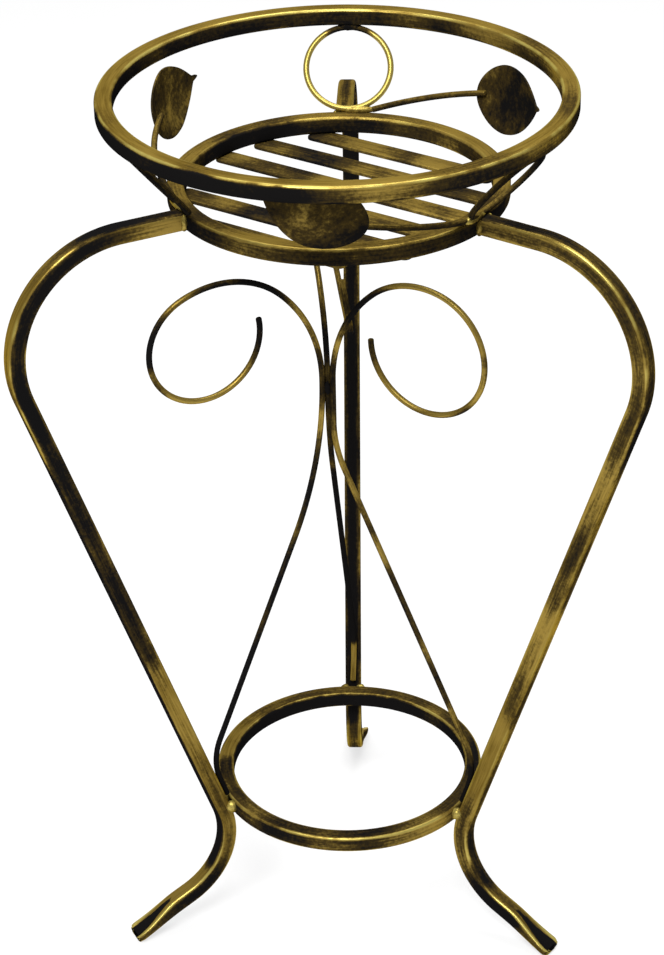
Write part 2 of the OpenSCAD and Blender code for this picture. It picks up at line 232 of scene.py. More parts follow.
def leg_bends():
    """Lean of a leg's straight part from upright, and the leg's bends."""
    parts, stock = sizes("frame"), sizes("stock")
    half = stock.tube_w / 2
    shoulder = Vector((parts.leg_reach - half - parts.shoulder_r, parts.seat_top - half - parts.shoulder_r))
    knee = Vector((parts.knee_reach + half + parts.knee_r, parts.knee_z))
    span = shoulder - knee
    bends = parts.shoulder_r + parts.knee_r
    lean = math.atan2(span.x, span.y) + math.asin(bends / span.length)
    run = math.sqrt(span.length_squared - bends * bends)
    slope = parts.foot_slope
    foot = (parts.knee_z - parts.knee_r * math.cos(slope) - half * math.cos(slope)) / math.sin(slope)
    start = parts.seat_d / 2 + stock.fit_gap
    return lean, [
        (shoulder.x - start, 0, parts.shoulder_r, QUARTER + lean),
        (run, math.pi, parts.knee_r, QUARTER + lean - slope),
        (foot, 0, 0, 0),
    ]


def inside_leg(z, distance):
    """Reach of a line that keeps a distance inside a leg's inner face."""
    parts = sizes("frame")
    lean = leg_bends()[0]
    half = sizes("stock").tube_w / 2
    knee = parts.knee_reach + half + parts.knee_r
    reach = parts.knee_r + half + distance
    rise = z - parts.knee_z
    if rise < reach * math.sin(lean):
        return knee - math.sqrt(reach * reach - rise * rise)
    return knee - (reach - rise * math.sin(lean)) / math.cos(lean)


def lower_ring_r():
    """Outer radius of the lower ring, which bears on the legs with its corners."""
    stock, top = sizes("stock"), sizes("frame").low_ring_top
    corner = stock.tube_corner
    rest = corner + stock.fit_gap
    return corner + min(inside_leg(top - stock.tube_w + corner, rest), inside_leg(top - corner, rest))


def basket_line():
    """Foot and head of the circles in a leg's plane, as reach and height."""
    parts, basket, stock = sizes("frame"), sizes("basket"), sizes("stock")
    clear = stock.wire_d / 2 + stock.fit_gap
    foot = Vector((parts.seat_d / 2 - basket.circle_foot_inset, parts.seat_top + clear))
    head = Vector((parts.rim_d / 2 - basket.circle_head_inset, parts.rim_top - stock.tube_w - clear))
    return foot, head


def basket_slope():
    """Slope of the circles from level, outwards."""
    foot, head = basket_line()
    return math.atan2(head.y - foot.y, head.x - foot.x)


def basket_point(which, bearing, z):
    """Frame on the basket's cone: X outwards, Z up, at a bearing before the circle."""
    foot, head = basket_line()
    reach = foot.x + (z - foot.y) * (head.x - foot.x) / (head.y - foot.y)
    return circle_frame(which) @ turned(-bearing) @ moved(reach, 0, z)


def circle_frame(which):
    return leg_frame(which) @ turned(sizes("basket").circle_turn[which])


def stem_height(which, bearing):
    """Height of a stem at a bearing before its circle."""
    basket = sizes("basket")
    low = basket_line()[0].y
    high = sizes("frame").seat_top + basket.stem_rise
    return low + (high - low) * (bearing - basket.stem_start) / (basket.stem_end[which] - basket.stem_start)


def scroll_start(which):
    """Foot of a scroll, and the throat's place at the foot's height."""
    scrolls, parts, stock = sizes("scrolls"), sizes("frame"), sizes("stock")
    z = parts.low_ring_top + scrolls.foot_rise + stock.wire_d / 2
    reach = inside_leg(z, stock.wire_d / 2 + stock.fit_gap)
    foot = leg_frame(which) @ Vector((reach, 0, z))
    throat = stand_axis() @ Vector((scrolls.throat[0], scrolls.throat[1], z))
    return foot, throat


def scroll_bends(which):
    """Bends of a scroll: along the leg, in to the throat, and round the curl."""
    scrolls, stock = sizes("scrolls"), sizes("stock")
    lean = leg_bends()[0]
    foot, throat = scroll_start(which)
    name, neck_r, throat_run = LEGS[which], scrolls.neck_r[which], scrolls.throat_l[which]
    # The back scroll goes up the throat's middle, and the others lie against it.
    reach_in = 0 if name == "back" else stock.wire_d + stock.fit_gap
    side, up = math.sin(lean), math.cos(lean)
    foot_middle = Vector(((foot - throat).length - scrolls.foot_r * up + scrolls.lap * side,
                          foot.z + scrolls.foot_r * side + scrolls.lap * up))
    neck_middle = Vector((reach_in + neck_r, scrolls.throat_top - throat_run))
    span = neck_middle - foot_middle
    bends = scrolls.foot_r + neck_r
    lean_in = math.asin(bends / span.length) - math.atan2(span.x, span.y)
    run = math.sqrt(span.length_squared - bends * bends)
    twist = scrolls.back_twist if name == "back" else (0, 0, 0, 0)
    curl = zip((throat_run, 0, 0, 0), twist, getattr(scrolls, name + "_curl_r"),
               getattr(scrolls, name + "_curl_a"))
    return [(scrolls.lap, math.pi, scrolls.foot_r, lean + lean_in), (run, math.pi, neck_r, lean_in), *curl]


# ---- Modelling helpers ----

# Longest chord of a bend, and how many chords one step of a straight run is long.
CHORD = 2.5 * MM
STRAIGHT_CHORDS = 6
# Points that are nearer than this are at one place.
TOUCH = 0.01 * MM
WIRE_SIDES = 16
CORNER_STEPS = 5
CUT_STEPS = 3
ROLL_STEPS = 3
FLAT_CUTS = 5
SHARP = math.radians(50)
UV_NAME = "Bar"


def start_piece():
    bpy.ops.object.select_all(action="DESELECT")


def apply_place():
    bpy.ops.object.transform_apply(location=True, rotation=True, scale=True)


def edit_all():
    """Enters edit mode with all selected."""
    bpy.ops.object.mode_set(mode="EDIT")
    bpy.ops.mesh.select_all(action="SELECT")


def face_out(merge=False):
    """Turns all faces outwards and leaves edit mode. A ring's ends are merged first."""
    bpy.ops.mesh.select_all(action="SELECT")
    if merge:
        bpy.ops.mesh.remove_doubles(threshold=TOUCH)
    bpy.ops.mesh.normals_make_consistent(inside=False)
    bpy.ops.object.mode_set(mode="OBJECT")


def bevel(offset, steps, affect):
    bpy.ops.mesh.bevel(offset=offset, offset_type="OFFSET", segments=steps, affect=affect)


def round_cut():
    """Rounds the selected edges of a cut end."""
    bevel(sizes("stock").cut_round, CUT_STEPS, "EDGES")


def apply_modifier(kind, **settings):
    """Adds a modifier to the active object and applies it."""
    modifier = bpy.context.object.modifiers.new(kind, kind)
    for key, value in settings.items():
        setattr(modifier, key, value)
    bpy.ops.object.modifier_apply(modifier=modifier.name)


def round_edges(width, steps):
    """Rounds all sharp edges of the active object."""
    apply_modifier("BEVEL", width=width, segments=steps, limit_method="ANGLE", angle_limit=SHARP)


def square_section(at, closed):
    """Rounded square of the tube across the frame's Z, in edit mode and all selected."""
    stock = sizes("stock")
    bpy.ops.mesh.primitive_plane_add(size=stock.tube_w, location=at.translation, rotation=at.to_euler())
    apply_place()
    edit_all()
    bevel(stock.tube_corner, CORNER_STEPS, "VERTICES")
    if closed:
        bpy.ops.mesh.delete(type="ONLY_FACE")
        bpy.ops.mesh.select_all(action="SELECT")


def round_section(at, closed):
    """Circle of the wire across the frame's Z, in edit mode and all selected."""
    bpy.ops.mesh.primitive_circle_add(
        vertices=WIRE_SIDES, radius=sizes("stock").wire_d / 2, location=at.translation,
        rotation=at.to_euler(), fill_type="NOTHING" if closed else "NGON")
    apply_place()
    edit_all()


def pick(test):
    """Selects the points of the active piece whose places pass the test, in edit mode."""
    bpy.ops.mesh.select_mode(type="VERT")
    bpy.ops.mesh.select_all(action="DESELECT")
    bpy.ops.object.mode_set(mode="OBJECT")
    for vertex in bpy.context.object.data.vertices:
        vertex.select = test(vertex.co)
    bpy.ops.object.mode_set(mode="EDIT")


def split_flats(at):
    """Adds points to the flats of the tube's section, so that a flat can be dented."""
    stock = sizes("stock")
    inverse = at.inverted()
    flat = stock.tube_w / 2 - stock.tube_corner

    def ends(place):
        local = inverse @ place
        return min(abs(abs(local.x) - flat), abs(abs(local.y) - flat)) < TOUCH

    pick(ends)
    bpy.ops.mesh.subdivide(number_cuts=FLAT_CUTS)
    bpy.ops.mesh.select_all(action="SELECT")


def dent_row(at, half, depth, flare, sweep):
    """Presses the outer flat of one row of a tube inwards, and its sides apart and back."""
    inverse, turn = at.inverted(), at.to_3x3()
    # Half width of a flat's middle, and where the flat on the floor and the outer flat start.
    middle, kept, outer = 0.1 * half, 0.6 * half, -0.9 * half

    def pick_in_row(test):
        def passes(place):
            local = inverse @ place
            return abs(local.z) < TOUCH and test(local)
        pick(passes)

    def press(step):
        bpy.ops.transform.translate(value=turn @ Vector(step), use_proportional_edit=True,
                                    proportional_edit_falloff="SMOOTH", proportional_size=half * 3,
                                    use_proportional_connected=True)

    pick_in_row(lambda local: True)
    bpy.ops.mesh.hide(unselected=True)
    for side in (-1, 1):
        pick_in_row(lambda local: abs(local.x) < middle and local.y * side > 0)
        press((0, side * flare, 0))
    # The flat that stands on the floor stays where it is.
    pick_in_row(lambda local: local.x > kept)
    bpy.ops.mesh.hide(unselected=False)
    pick_in_row(lambda local: local.x < outer and abs(local.y) < middle)
    press((depth, 0, 0))
    bpy.ops.mesh.reveal(select=False)
    if sweep:
        for side in (-1, 1):
            pick_in_row(lambda local: local.y * side > half)
            bpy.ops.transform.translate(value=turn @ Vector((0, 0, -sweep)))


def bend_section(at, bends):
    """Extrudes and spins the selected section along the bends. Gives the frame of each station."""
    stations = [at.copy()]
    roll = 0.0
    for run, turn, radius, bend in bends:
        heading = at.to_3x3() @ Vector((0, 0, 1))
        steps = max(1, round(run / CHORD / STRAIGHT_CHORDS)) if run > 0 else 0
        for _ in range(steps):
            step = run / steps
            bpy.ops.mesh.extrude_region_move(TRANSFORM_OT_translate={"value": heading * step})
            at = at @ moved(z=step)
            stations.append(at @ turned(-roll))
        at = at @ turned(turn)
        roll += turn
        if bend > 0:
            steps = max(2, math.ceil(radius * bend / CHORD))
            # The spin operator turns the other way about its axis.
            bpy.ops.mesh.spin(steps=steps, angle=bend, center=at @ Vector((radius, 0, 0)),
                              axis=at.to_3x3() @ Vector((0, -1, 0)))
            around = at @ moved(x=radius)
            for n in range(1, steps + 1):
                stations.append(around @ turned(bend * n / steps, "Y") @ moved(x=-radius) @ turned(-roll))
            at = around @ turned(bend, "Y") @ moved(x=-radius)
    return stations


def wrap_uv(piece, stations, closed=False):
    """UV map of a bar: metres along it, and the turn round it as a share of a full turn."""
    tree = KDTree(len(stations))
    reach = [0.0]
    for n, station in enumerate(stations):
        tree.insert(station.translation, n)
        if n:
            reach.append(reach[-1] + (station.translation - stations[n - 1].translation).length)
    tree.balance()
    full = reach[-1] + (stations[0].translation - stations[-1].translation).length
    inverse = [station.inverted() for station in stations]
    place = []
    for vertex in piece.data.vertices:
        n = tree.find(vertex.co)[1]
        local = inverse[n] @ vertex.co
        place.append((reach[n], math.atan2(local.y, local.x) / math.tau))
    layer = piece.data.uv_layers.new(name=UV_NAME)
    for polygon in piece.data.polygons:
        first = place[polygon.vertices[0]]
        for loop, vertex in zip(polygon.loop_indices, polygon.vertices):
            run, share = place[vertex]
            share += round(first[1] - share)
            if closed:
                run += full * round((first[0] - run) / full)
            layer.data[loop].uv = (run, share)


def path_length(stations, closed=False):
    """Length of the way through the stations' places."""
    steps = zip(stations, stations[1:] + stations[:1] if closed else stations[1:])
    return sum((a.translation - b.translation).length for a, b in steps)


def place_copy(model, turn):
    """Copy of a model with its own mesh, turned about the stand's axis."""
    start_piece()
    model.select_set(True)
    bpy.context.view_layer.objects.active = model
    bpy.ops.object.duplicate(linked=False)
    axis = stand_axis()
    bpy.context.object.matrix_world = axis @ turned(turn) @ axis.inverted()


def finish_piece(name, nodes, material, smooth=40):
    """Names the active object, smooths it and joins it to the frame."""
    piece = bpy.context.object
    piece.name = name
    piece.data.name = name
    apply_place()
    bpy.ops.object.shade_smooth_by_angle(angle=math.radians(smooth))
    piece.data.materials.clear()
    piece.data.materials.append(material)
    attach(piece, BODY)
    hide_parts(*nodes)
    return piece


def model_ring(at, radius, section):
    """Ring round the frame's Z whose section's middle runs at the radius. Gives its length."""
    start_piece()
    tangent = at @ moved(x=radius) @ turned(-QUARTER, "X") @ turned(math.pi)
    section(tangent, True)
    stations = bend_section(tangent, [(0, 0, radius, math.tau)])
    face_out(merge=True)
    wrap_uv(bpy.context.object, stations[:-1], closed=True)
    return path_length(stations[:-1], closed=True)


# ---- Node groups and materials ----

class Nodes:
    """Adds nodes to a tree and links them."""

    def __init__(self, tree):
        self.tree = tree

    def add(self, kind, **settings):
        node = self.tree.nodes.new("ShaderNode" + kind)
        for key, value in settings.items():
            setattr(node, key, value)
        return node

    def feed(self, socket, value):
        if isinstance(value, bpy.types.NodeSocket):
            self.tree.links.new(value, socket)
        elif value is not None:
            socket.default_value = value

    def feed_all(self, sockets, values):
        """Feeds sockets by their names."""
        for label, value in values.items():
            self.feed(sockets[label], value)

    def place(self, kind, values, **settings):
        """Adds a node and feeds its named inputs."""
        node = self.add(kind, **settings)
        self.feed_all(node.inputs, values)
        return node

    def fill(self, node, *values):
        """Feeds a node's inputs in their order. Gives its first output."""
        for socket, value in zip(node.inputs, values):
            self.feed(socket, value)
        return node.outputs[0]

    def maths(self, operation, *values):
        return self.fill(self.add("Math", operation=operation), *values)

    def times(self, a, b):
        return self.maths("MULTIPLY", a, b)

    def plus(self, a, factor, b):
        """The sum of b and factor times a."""
        return self.maths("MULTIPLY_ADD", a, factor, b)

    def off(self, a, middle=0.5):
        return self.maths("SUBTRACT", a, middle)

    def vectors(self, operation, a, b):
        return self.fill(self.add("VectorMath", operation=operation), a, b)

    def split(self, vector):
        node = self.add("SeparateXYZ")
        self.fill(node, vector)
        return node.outputs

    def object_place(self):
        return self.add("TexCoord").outputs["Object"]

    def noise(self, vector, scale, detail=3.0, roughness=0.55):
        return self.place("TexNoise", {"Vector": vector, "Scale": scale, "Detail": detail,
                                       "Roughness": roughness}).outputs["Fac"]

    def ramp(self, value, low, high, smooth=True):
        return self.place("MapRange", {"Value": value, "From Min": low, "From Max": high},
                          interpolation_type="SMOOTHSTEP" if smooth else "LINEAR").outputs["Result"]

    def profile(self, value, stops):
        """Level that follows the stops, each a share of the way and its level."""
        node = self.add("ValToRGB")
        self.feed(node.inputs["Fac"], value)
        elements = node.color_ramp.elements
        for stop, (share, level) in zip(elements, (stops[0], stops[-1])):
            stop.position = share
            stop.color = (level, level, level, 1)
        for share, level in stops[1:-1]:
            elements.new(share).color = (level, level, level, 1)
        return node.outputs["Color"]

    def mix(self, share, a, b, kind="RGBA"):
        return self.place("Mix", {"Factor": share, "A": a, "B": b}, data_type=kind).outputs["Result"]


def new_group(name, inputs, outputs):
    """Empty shader group: its nodes helper, and the sockets that it is given and that it results in."""
    tree = bpy.data.node_groups.new(name, "ShaderNodeTree")
    for label, default in inputs.items():
        kind = "NodeSocketVector" if isinstance(default, tuple) else "NodeSocketFloat"
        socket = tree.interface.new_socket(label, in_out="INPUT", socket_type=kind)
        socket.default_value = default
    for kind, labels in outputs.items():
        for label in labels:
            tree.interface.new_socket(label, in_out="OUTPUT", socket_type="NodeSocket" + kind)
    given, result = tree.nodes.new("NodeGroupInput"), tree.nodes.new("NodeGroupOutput")
    return Nodes(tree), given.outputs, result.inputs


def rgba(value):
    return (*value, 1.0)


# Weights of the patches, bristles, specks, and rubbing with painted highlight, in the amount of gold.
PATCH_GAIN, BRISTLE_GAIN, SPECK_GAIN, RUB_AND_HIGHLIGHT_GAIN = 1.9, 0.55, 0.55, 0.8
BRISTLE_STRETCH = (2.6, 3.2, 3.2)
SPECK_SCALE = 480.0
# Amounts of gold between which umber, gold and bright gold come in, and old gold gives way to gold. The
# bright gold is gold from rubbing and painted highlight.
UMBER_FROM, GOLD_FROM, BRIGHT_FROM, SHADE_FROM = (0.18, 0.50), (0.42, 0.82), (0.55, 1.15), (0.36, 0.62)
# Roughness of the lacquer, and what gold, bristles, and rubbing with painted highlight add to it.
ROUGH, GOLD_ROUGH, BRISTLE_ROUGH, RUB_AND_HIGHLIGHT_ROUGH = 0.42, -0.04, 0.25, -0.10
# Heights of bristles, gold and specks in the bump.
BRISTLE_H, GOLD_H, SPECK_H = 0.6, 0.35, 0.3


def gold_group():
    """Dry-brushed gold over black lacquer: strokes from a vector, patches from Object coordinates, more gold
    on upward faces as painted light from above, and bright gold from rubbing and painted highlight.
    """
    finish = sizes("finish")
    nodes, given, result = new_group(
        "Dry-brushed gold",
        {"Stroke": (0, 0, 0), "Cover": 0.5, "Patches": 1.0, "Strokes": 0.8, "Top": 0.25, "Rubbed": 0.0,
         "Patch Scale": 20.0, "Shift": (0, 0, 0)},
        {"Color": ("Color",), "Float": ("Gold", "Roughness", "Height")})
    place = nodes.vectors("ADD", nodes.object_place(), given["Shift"])
    patches = nodes.noise(place, given["Patch Scale"], 2.0, 0.5)
    strokes = nodes.noise(given["Stroke"], 1.0, 3.0, 0.6)
    bristles = nodes.noise(nodes.vectors("MULTIPLY", given["Stroke"], BRISTLE_STRETCH), 1.0, 2.0, 0.6)
    specks = nodes.noise(place, SPECK_SCALE, 4.0, 0.68)
    amount = given["Cover"]
    for pattern, gain in ((patches, nodes.times(given["Patches"], PATCH_GAIN)),
                          (strokes, given["Strokes"]),
                          (bristles, nodes.times(given["Strokes"], BRISTLE_GAIN)),
                          (specks, SPECK_GAIN)):
        amount = nodes.plus(nodes.off(pattern), gain, amount)
    up = nodes.split(nodes.add("NewGeometry").outputs["Normal"])["Z"]
    # Faces that turn up get more gold: painted light from above.
    amount = nodes.plus(up, given["Top"], amount)
    # Rubbing adds gold, partly as painted highlight.
    amount = nodes.plus(given["Rubbed"], RUB_AND_HIGHLIGHT_GAIN, amount)
    full = nodes.ramp(amount, *GOLD_FROM)
    tone = nodes.mix(nodes.ramp(amount, *UMBER_FROM), rgba(finish.lacquer), rgba(finish.umber))
    shade = nodes.plus(patches, 0.5, nodes.times(strokes, 0.5))
    gold = nodes.mix(nodes.ramp(shade, *SHADE_FROM), rgba(finish.old_gold), rgba(finish.gold))
    # Bright gold where rubbing and painted highlight come in.
    rubbed = nodes.times(given["Rubbed"], nodes.ramp(amount, *BRIGHT_FROM))
    rough = nodes.plus(nodes.off(bristles), BRISTLE_ROUGH, nodes.plus(full, GOLD_ROUGH, ROUGH))
    height = nodes.plus(bristles, BRISTLE_H, nodes.times(full, GOLD_H))
    nodes.feed_all(result, {
        "Color": nodes.mix(rubbed, nodes.mix(full, tone, gold), rgba(finish.rubbed_and_highlight_gold)),
        "Gold": full,
        "Roughness": nodes.plus(rubbed, RUB_AND_HIGHLIGHT_ROUGH, rough),
        "Height": nodes.plus(specks, SPECK_H, height)})
    return nodes.tree


# Length and width of the brush strokes on tubes and on wires.
TUBE_STROKE, WIRE_STROKE = (26 * MM, 1.3 * MM), (16 * MM, 0.9 * MM)
# Share of a loop by which its folds are set back from its start.
FOLD_SHIFT = 0.37
# Quarter turns from a corner at which its gold from rubbing and painted highlight ends and is full, and a
# flat's middle starts and is full.
CORNER_FROM, MIDDLE_FROM = (0.16, 0.03), (0.10, 0.40)
# Scale of the wear on corners, which breaks up their gold from rubbing and painted highlight, and the levels
# of its noise between which that gold comes in.
WEAR_AND_HIGHLIGHT_SCALE, WEAR_AND_HIGHLIGHT_FROM = 42.0, (0.34, 0.60)
# Cosines of the turn between which a bar's side passes into its outer flat.
FLAT_FROM = (0.60, 0.74)
# Cosine of the turn to a dent's lip, and how far from it the lip's painted highlight ends and is full.
LIP, LIP_END, LIP_FULL = 0.70, 0.17, 0.05
# Cosine past which a dent gets painted shade, what nearness to the end and raggedness add to it, and its
# soft edge.
DENT_FROM, DENT_GROWTH, DENT_RAGGED, DENT_EDGE = 0.955, -0.20, 0.10, 0.03
# What a dent's painted shade and its lip's painted highlight add to the cover, and the bright gold of the
# lip's painted highlight.
DENT_SHADE_COVER, LIP_HIGHLIGHT_COVER, LIP_HIGHLIGHT = -2.5, 0.6, 0.75


def bar_group():
    """Strokes that run along a bar without a seam, and masks of its corners, flats and pressed end: the
    corners carry gold from rubbing and painted highlight, and the pressed end carries painted shade and a
    painted highlight.
    """
    nodes, given, result = new_group(
        "Bar strokes",
        {"Girth": 6.4 * MM, "Stroke Length": TUBE_STROKE[0], "Stroke Width": TUBE_STROKE[1], "Start": 0.0,
         "Loop": 10.0, "Tip From": 10.0, "Tip To": 11.0},
        {"Vector": ("Stroke",), "Float": ("Along", "Corner", "Middle", "Outer", "Inner", "Tip", "Lip")})
    uv = nodes.split(nodes.add("UVMap", uv_map=UV_NAME).outputs[0])
    along, share = uv["X"], uv["Y"]
    turn = nodes.times(share, math.tau)
    rounds = nodes.maths("DIVIDE", given["Girth"], given["Stroke Width"])
    # Folding the way round a ring lets its strokes meet where it closes.
    folded = nodes.maths("PINGPONG", nodes.plus(given["Loop"], FOLD_SHIFT, along), given["Loop"])
    run = nodes.maths("ADD", nodes.maths("DIVIDE", folded, given["Stroke Length"]), given["Start"])
    stroke = nodes.fill(nodes.add("CombineXYZ"), run, nodes.times(nodes.maths("COSINE", turn), rounds),
                        nodes.times(nodes.maths("SINE", turn), rounds))
    off_corner = nodes.maths("ABSOLUTE", nodes.off(nodes.maths("FRACT", nodes.times(share, 4.0))))
    worn_and_highlight = nodes.ramp(nodes.noise(nodes.object_place(), WEAR_AND_HIGHLIGHT_SCALE, 2.0), *WEAR_AND_HIGHLIGHT_FROM)
    outward = nodes.times(nodes.maths("COSINE", turn), -1.0)
    # The painted shade of a dented end widens from a point to the whole hollow.
    near_end = nodes.ramp(along, given["Tip From"], given["Tip To"], smooth=False)
    ragged = nodes.noise(stroke, 1.6, 3.0, 0.7)
    reach = nodes.plus(near_end, DENT_GROWTH, nodes.plus(ragged, DENT_RAGGED, DENT_FROM))
    at_lip = nodes.ramp(nodes.maths("ABSOLUTE", nodes.off(outward, LIP)), LIP_END, LIP_FULL)
    nodes.feed_all(result, {
        "Stroke": stroke,
        "Along": along,
        # Corners get gold from rubbing and painted highlight, broken up by wear.
        "Corner": nodes.times(nodes.ramp(off_corner, *CORNER_FROM), worn_and_highlight),
        "Middle": nodes.ramp(off_corner, *MIDDLE_FROM),
        "Outer": nodes.ramp(outward, *FLAT_FROM),
        "Inner": nodes.ramp(outward, *(-cosine for cosine in FLAT_FROM)),
        # A dented end's hollow gets painted shade, and its lip a painted highlight.
        "Tip": nodes.ramp(outward, reach, nodes.maths("ADD", reach, DENT_EDGE)),
        "Lip": nodes.times(at_lip, nodes.ramp(near_end, -0.02, 0.25))})
    return nodes.tree


def shared_group(nodes, name, make, values):
    """Places a shared group, built at its first use, with a material's own values."""
    return nodes.place("Group", values, node_tree=bpy.data.node_groups.get(name) or make())


def new_material(name):
    material = bpy.data.materials.new(name)
    material.use_nodes = True
    return material, Nodes(material.node_tree), material.node_tree.nodes["Principled BSDF"]


SHEEN_TINT = (0.70, 0.55, 0.26, 1.0)
BUMP_DEPTH = 0.4 * MM


def brush_on(nodes, shader, values, stroke, rubbed=None, cover=None, metal=0.6, bump=0.12):
    """Places the gold group in a material and feeds the shader from it."""
    brushed = shared_group(nodes, "Dry-brushed gold", gold_group, values)
    nodes.feed_all(brushed.inputs, {"Stroke": stroke, "Rubbed": rubbed, "Cover": cover})
    brushed = brushed.outputs
    lumps = nodes.place("Bump", {"Strength": bump, "Distance": BUMP_DEPTH, "Height": brushed["Height"]})
    nodes.feed_all(shader.inputs, {
        "Base Color": brushed["Color"], "Roughness": brushed["Roughness"],
        "Metallic": nodes.times(brushed["Gold"], metal), "Specular IOR Level": 0.0,
        "Specular Tint": SHEEN_TINT, "Normal": lumps.outputs["Normal"]})


def bar_material(name, girth, stroke_l, stroke_w, start, bar_l, flats, corner=0.0, loop=False, edge=0.0,
                 tip=None, bump=0.12, **values):
    """Finish of a tube or wire: strokes along it, gold from rubbing and painted highlight on its corners,
    cover set along each flat, painted shade and highlight at a dented end.
    """
    material, nodes, shader = new_material(name)
    masks = shared_group(nodes, "Bar strokes", bar_group, {
        "Girth": girth, "Stroke Length": stroke_l, "Stroke Width": stroke_w, "Start": start,
        "Loop": bar_l / 2 if loop else None, "Tip From": tip and tip[0], "Tip To": tip and tip[1]}).outputs
    share = nodes.maths("DIVIDE", masks["Along"], bar_l)
    cover = nodes.profile(share, flats["Sides"])
    for flat in ("Outer", "Inner"):
        if flat in flats:
            cover = nodes.mix(masks[flat], cover, nodes.profile(share, flats[flat]), "FLOAT")
    if edge:
        cover = nodes.plus(masks["Middle"], -edge, nodes.maths("ADD", cover, edge / 2))
    # Corners get gold from rubbing and painted highlight.
    rubbed = nodes.times(masks["Corner"], corner) if corner else None
    if "Corners" in flats:
        rubbed = nodes.times(rubbed, nodes.profile(share, flats["Corners"]))
    # A dented end gets painted shade in its hollow and a painted highlight on its lip.
    if tip:
        cover = nodes.plus(masks["Lip"], LIP_HIGHLIGHT_COVER, nodes.plus(masks["Tip"], DENT_SHADE_COVER, cover))
        rubbed = nodes.maths("MAXIMUM", rubbed, nodes.times(masks["Lip"], LIP_HIGHLIGHT))
    brush_on(nodes, shader, values, masks["Stroke"], rubbed, cover, bump=bump)
    return material


def object_material(name, stretch, turn=0.0, metal=0.6, bump=0.12, **values):
    """Finish of strips, leaves and beads, with strokes in Object coordinates."""
    if name in bpy.data.materials:
        return bpy.data.materials[name]
    material, nodes, shader = new_material(name)
    mapped = nodes.place("Mapping", {"Vector": nodes.object_place(), "Rotation": (0, 0, -turn)})
    stroke = nodes.vectors("MULTIPLY", mapped.outputs["Vector"], stretch)
    brush_on(nodes, shader, values, stroke, metal=metal, bump=bump)
    return material


def tube_material(name, start, bar_l, flats, **values):
    # Upward faces get painted light from above, and corners gold from rubbing and painted highlight.
    settings = {"Patches": 0.75, "Strokes": 0.62, "Top": 0.18, "Patch Scale": 19.0, "corner": 0.7, **values}
    girth = sizes("stock").tube_w * 4 / math.tau
    return bar_material(name, girth, *TUBE_STROKE, start, bar_l, flats, **settings)


def wire_material(name, start, bar_l, cover, **values):
    """Finish of a wire, whose cover is the same all round."""
    # Upward faces get painted light from above.
    settings = {"Patches": 0.5, "Strokes": 0.5, "Top": 0.22, "Patch Scale": 17.0, "bump": 0.04, **values}
    girth = sizes("stock").wire_d / 2
    return bar_material(name, girth, *WIRE_STROKE, start, bar_l, {"Sides": cover}, **settings)


# Strokes per metre along X, Y and Z, X being a slat's length.
SLAT_STROKES, LEAF_STROKES, BEAD_STROKES = (38.0, 620.0, 300.0), (90.0, 90.0, 70.0), (300.0, 300.0, 300.0)


def bead_material(name, **values):
    settings = {"Patches": 0.8, "Strokes": 0.6, "Patch Scale": 90.0, **values}
    return object_material(name, BEAD_STROKES, bump=0.3, **settings)


# Strokes start elsewhere on each bar: where they do on the first of a kind, and the step to the next.
STARTS = {"ring": (0.0, 7.0), "leg": (11.0, 5.0), "scroll": (3.0, 1.0), "circle": (1.0, 1.0),
          "stem": (5.0, 1.0)}


def start_of(kind, number):
    first, step = STARTS[kind]
    return first + number * step


# ---- Pieces ----

# Gold cover along each ring, from the back round by the left, and along each bar from its start.
# Sides are a ring's top and bottom; Outer and Inner face away from and to the stand's axis.
RING_FLATS = {
    "rim_ring": {
        "Sides": ((0, 0.18), (0.12, 0.16), (0.25, 0.26), (0.5, 0.28), (0.62, 0.18), (0.75, 0.04),
                  (0.88, 0.10), (1, 0.18)),
        "Outer": ((0, 0.30), (0.25, 0.12), (0.36, 0.0), (0.44, 0.04), (0.52, 0.46), (0.62, 0.52),
                  (0.75, 0.46), (0.90, 0.48), (1, 0.30)),
        "Inner": ((0, 0.34), (0.10, 0.18), (0.25, 0.12), (0.5, 0.30), (0.72, 0.44), (0.84, 0.60),
                  (0.93, 0.28), (1, 0.34)),
    },
    "seat_ring": {
        "Sides": ((0, 0.34), (1, 0.34)),
        "Inner": ((0, 0.30), (0.15, 0.16), (0.8, 0.16), (0.92, 0.40), (1, 0.30)),
    },
    "lower_ring": {
        "Sides": ((0, 0.55), (0.12, 0.60), (0.235, 0.75), (0.255, 0.15), (0.35, 0.22), (0.5, 0.26),
                  (0.65, 0.26), (0.78, 0.18), (0.90, 0.40), (1, 0.55)),
        "Outer": ((0, 0.30), (0.25, 0.30), (0.32, 0.14), (0.42, 0.20), (0.48, 0.42), (0.62, 0.48),
                  (0.72, 0.44), (0.76, 0.30), (1, 0.30)),
        "Inner": ((0, 0.10), (1, 0.10)),
    },
}
# Upward faces get painted light from above, most on the rim; corners get gold from rubbing and painted
# highlight.
RING_FINISH = {
    "rim_ring": {"Top": 0.62, "Strokes": 0.36},
    "seat_ring": {"Top": 0.30, "Shift": (3, 0, 0), "corner": 0.4, "Strokes": 0.4},
    "lower_ring": {"Top": 0.10, "Shift": (0, 5, 0), "Strokes": 0.48},
}


class STAND_OT_rings(bpy.types.Operator):
    """Models the rim ring, the seat ring and the lower ring from square tube"""

    bl_idname = "stand.rings"
    bl_label = "Rings"

    def execute(self, context):
        parts = sizes("frame")
        half = sizes("stock").tube_w / 2
        rings = (("rim_ring", parts.rim_d / 2, parts.rim_top),
                 ("seat_ring", parts.seat_d / 2, parts.seat_top),
                 ("lower_ring", lower_ring_r(), parts.low_ring_top))
        for number, (node, outer, top) in enumerate(rings):
            at = stand_axis() @ moved(z=top - half) @ turned(QUARTER)
            round_l = model_ring(at, outer - half, square_section)
            material = tube_material(node.replace("_", " ") + " finish", start_of("ring", number),
                                     round_l, RING_FLATS[node], loop=True, **RING_FINISH[node])
            finish_piece(node + "_tube", [node], material)
        return {"FINISHED"}
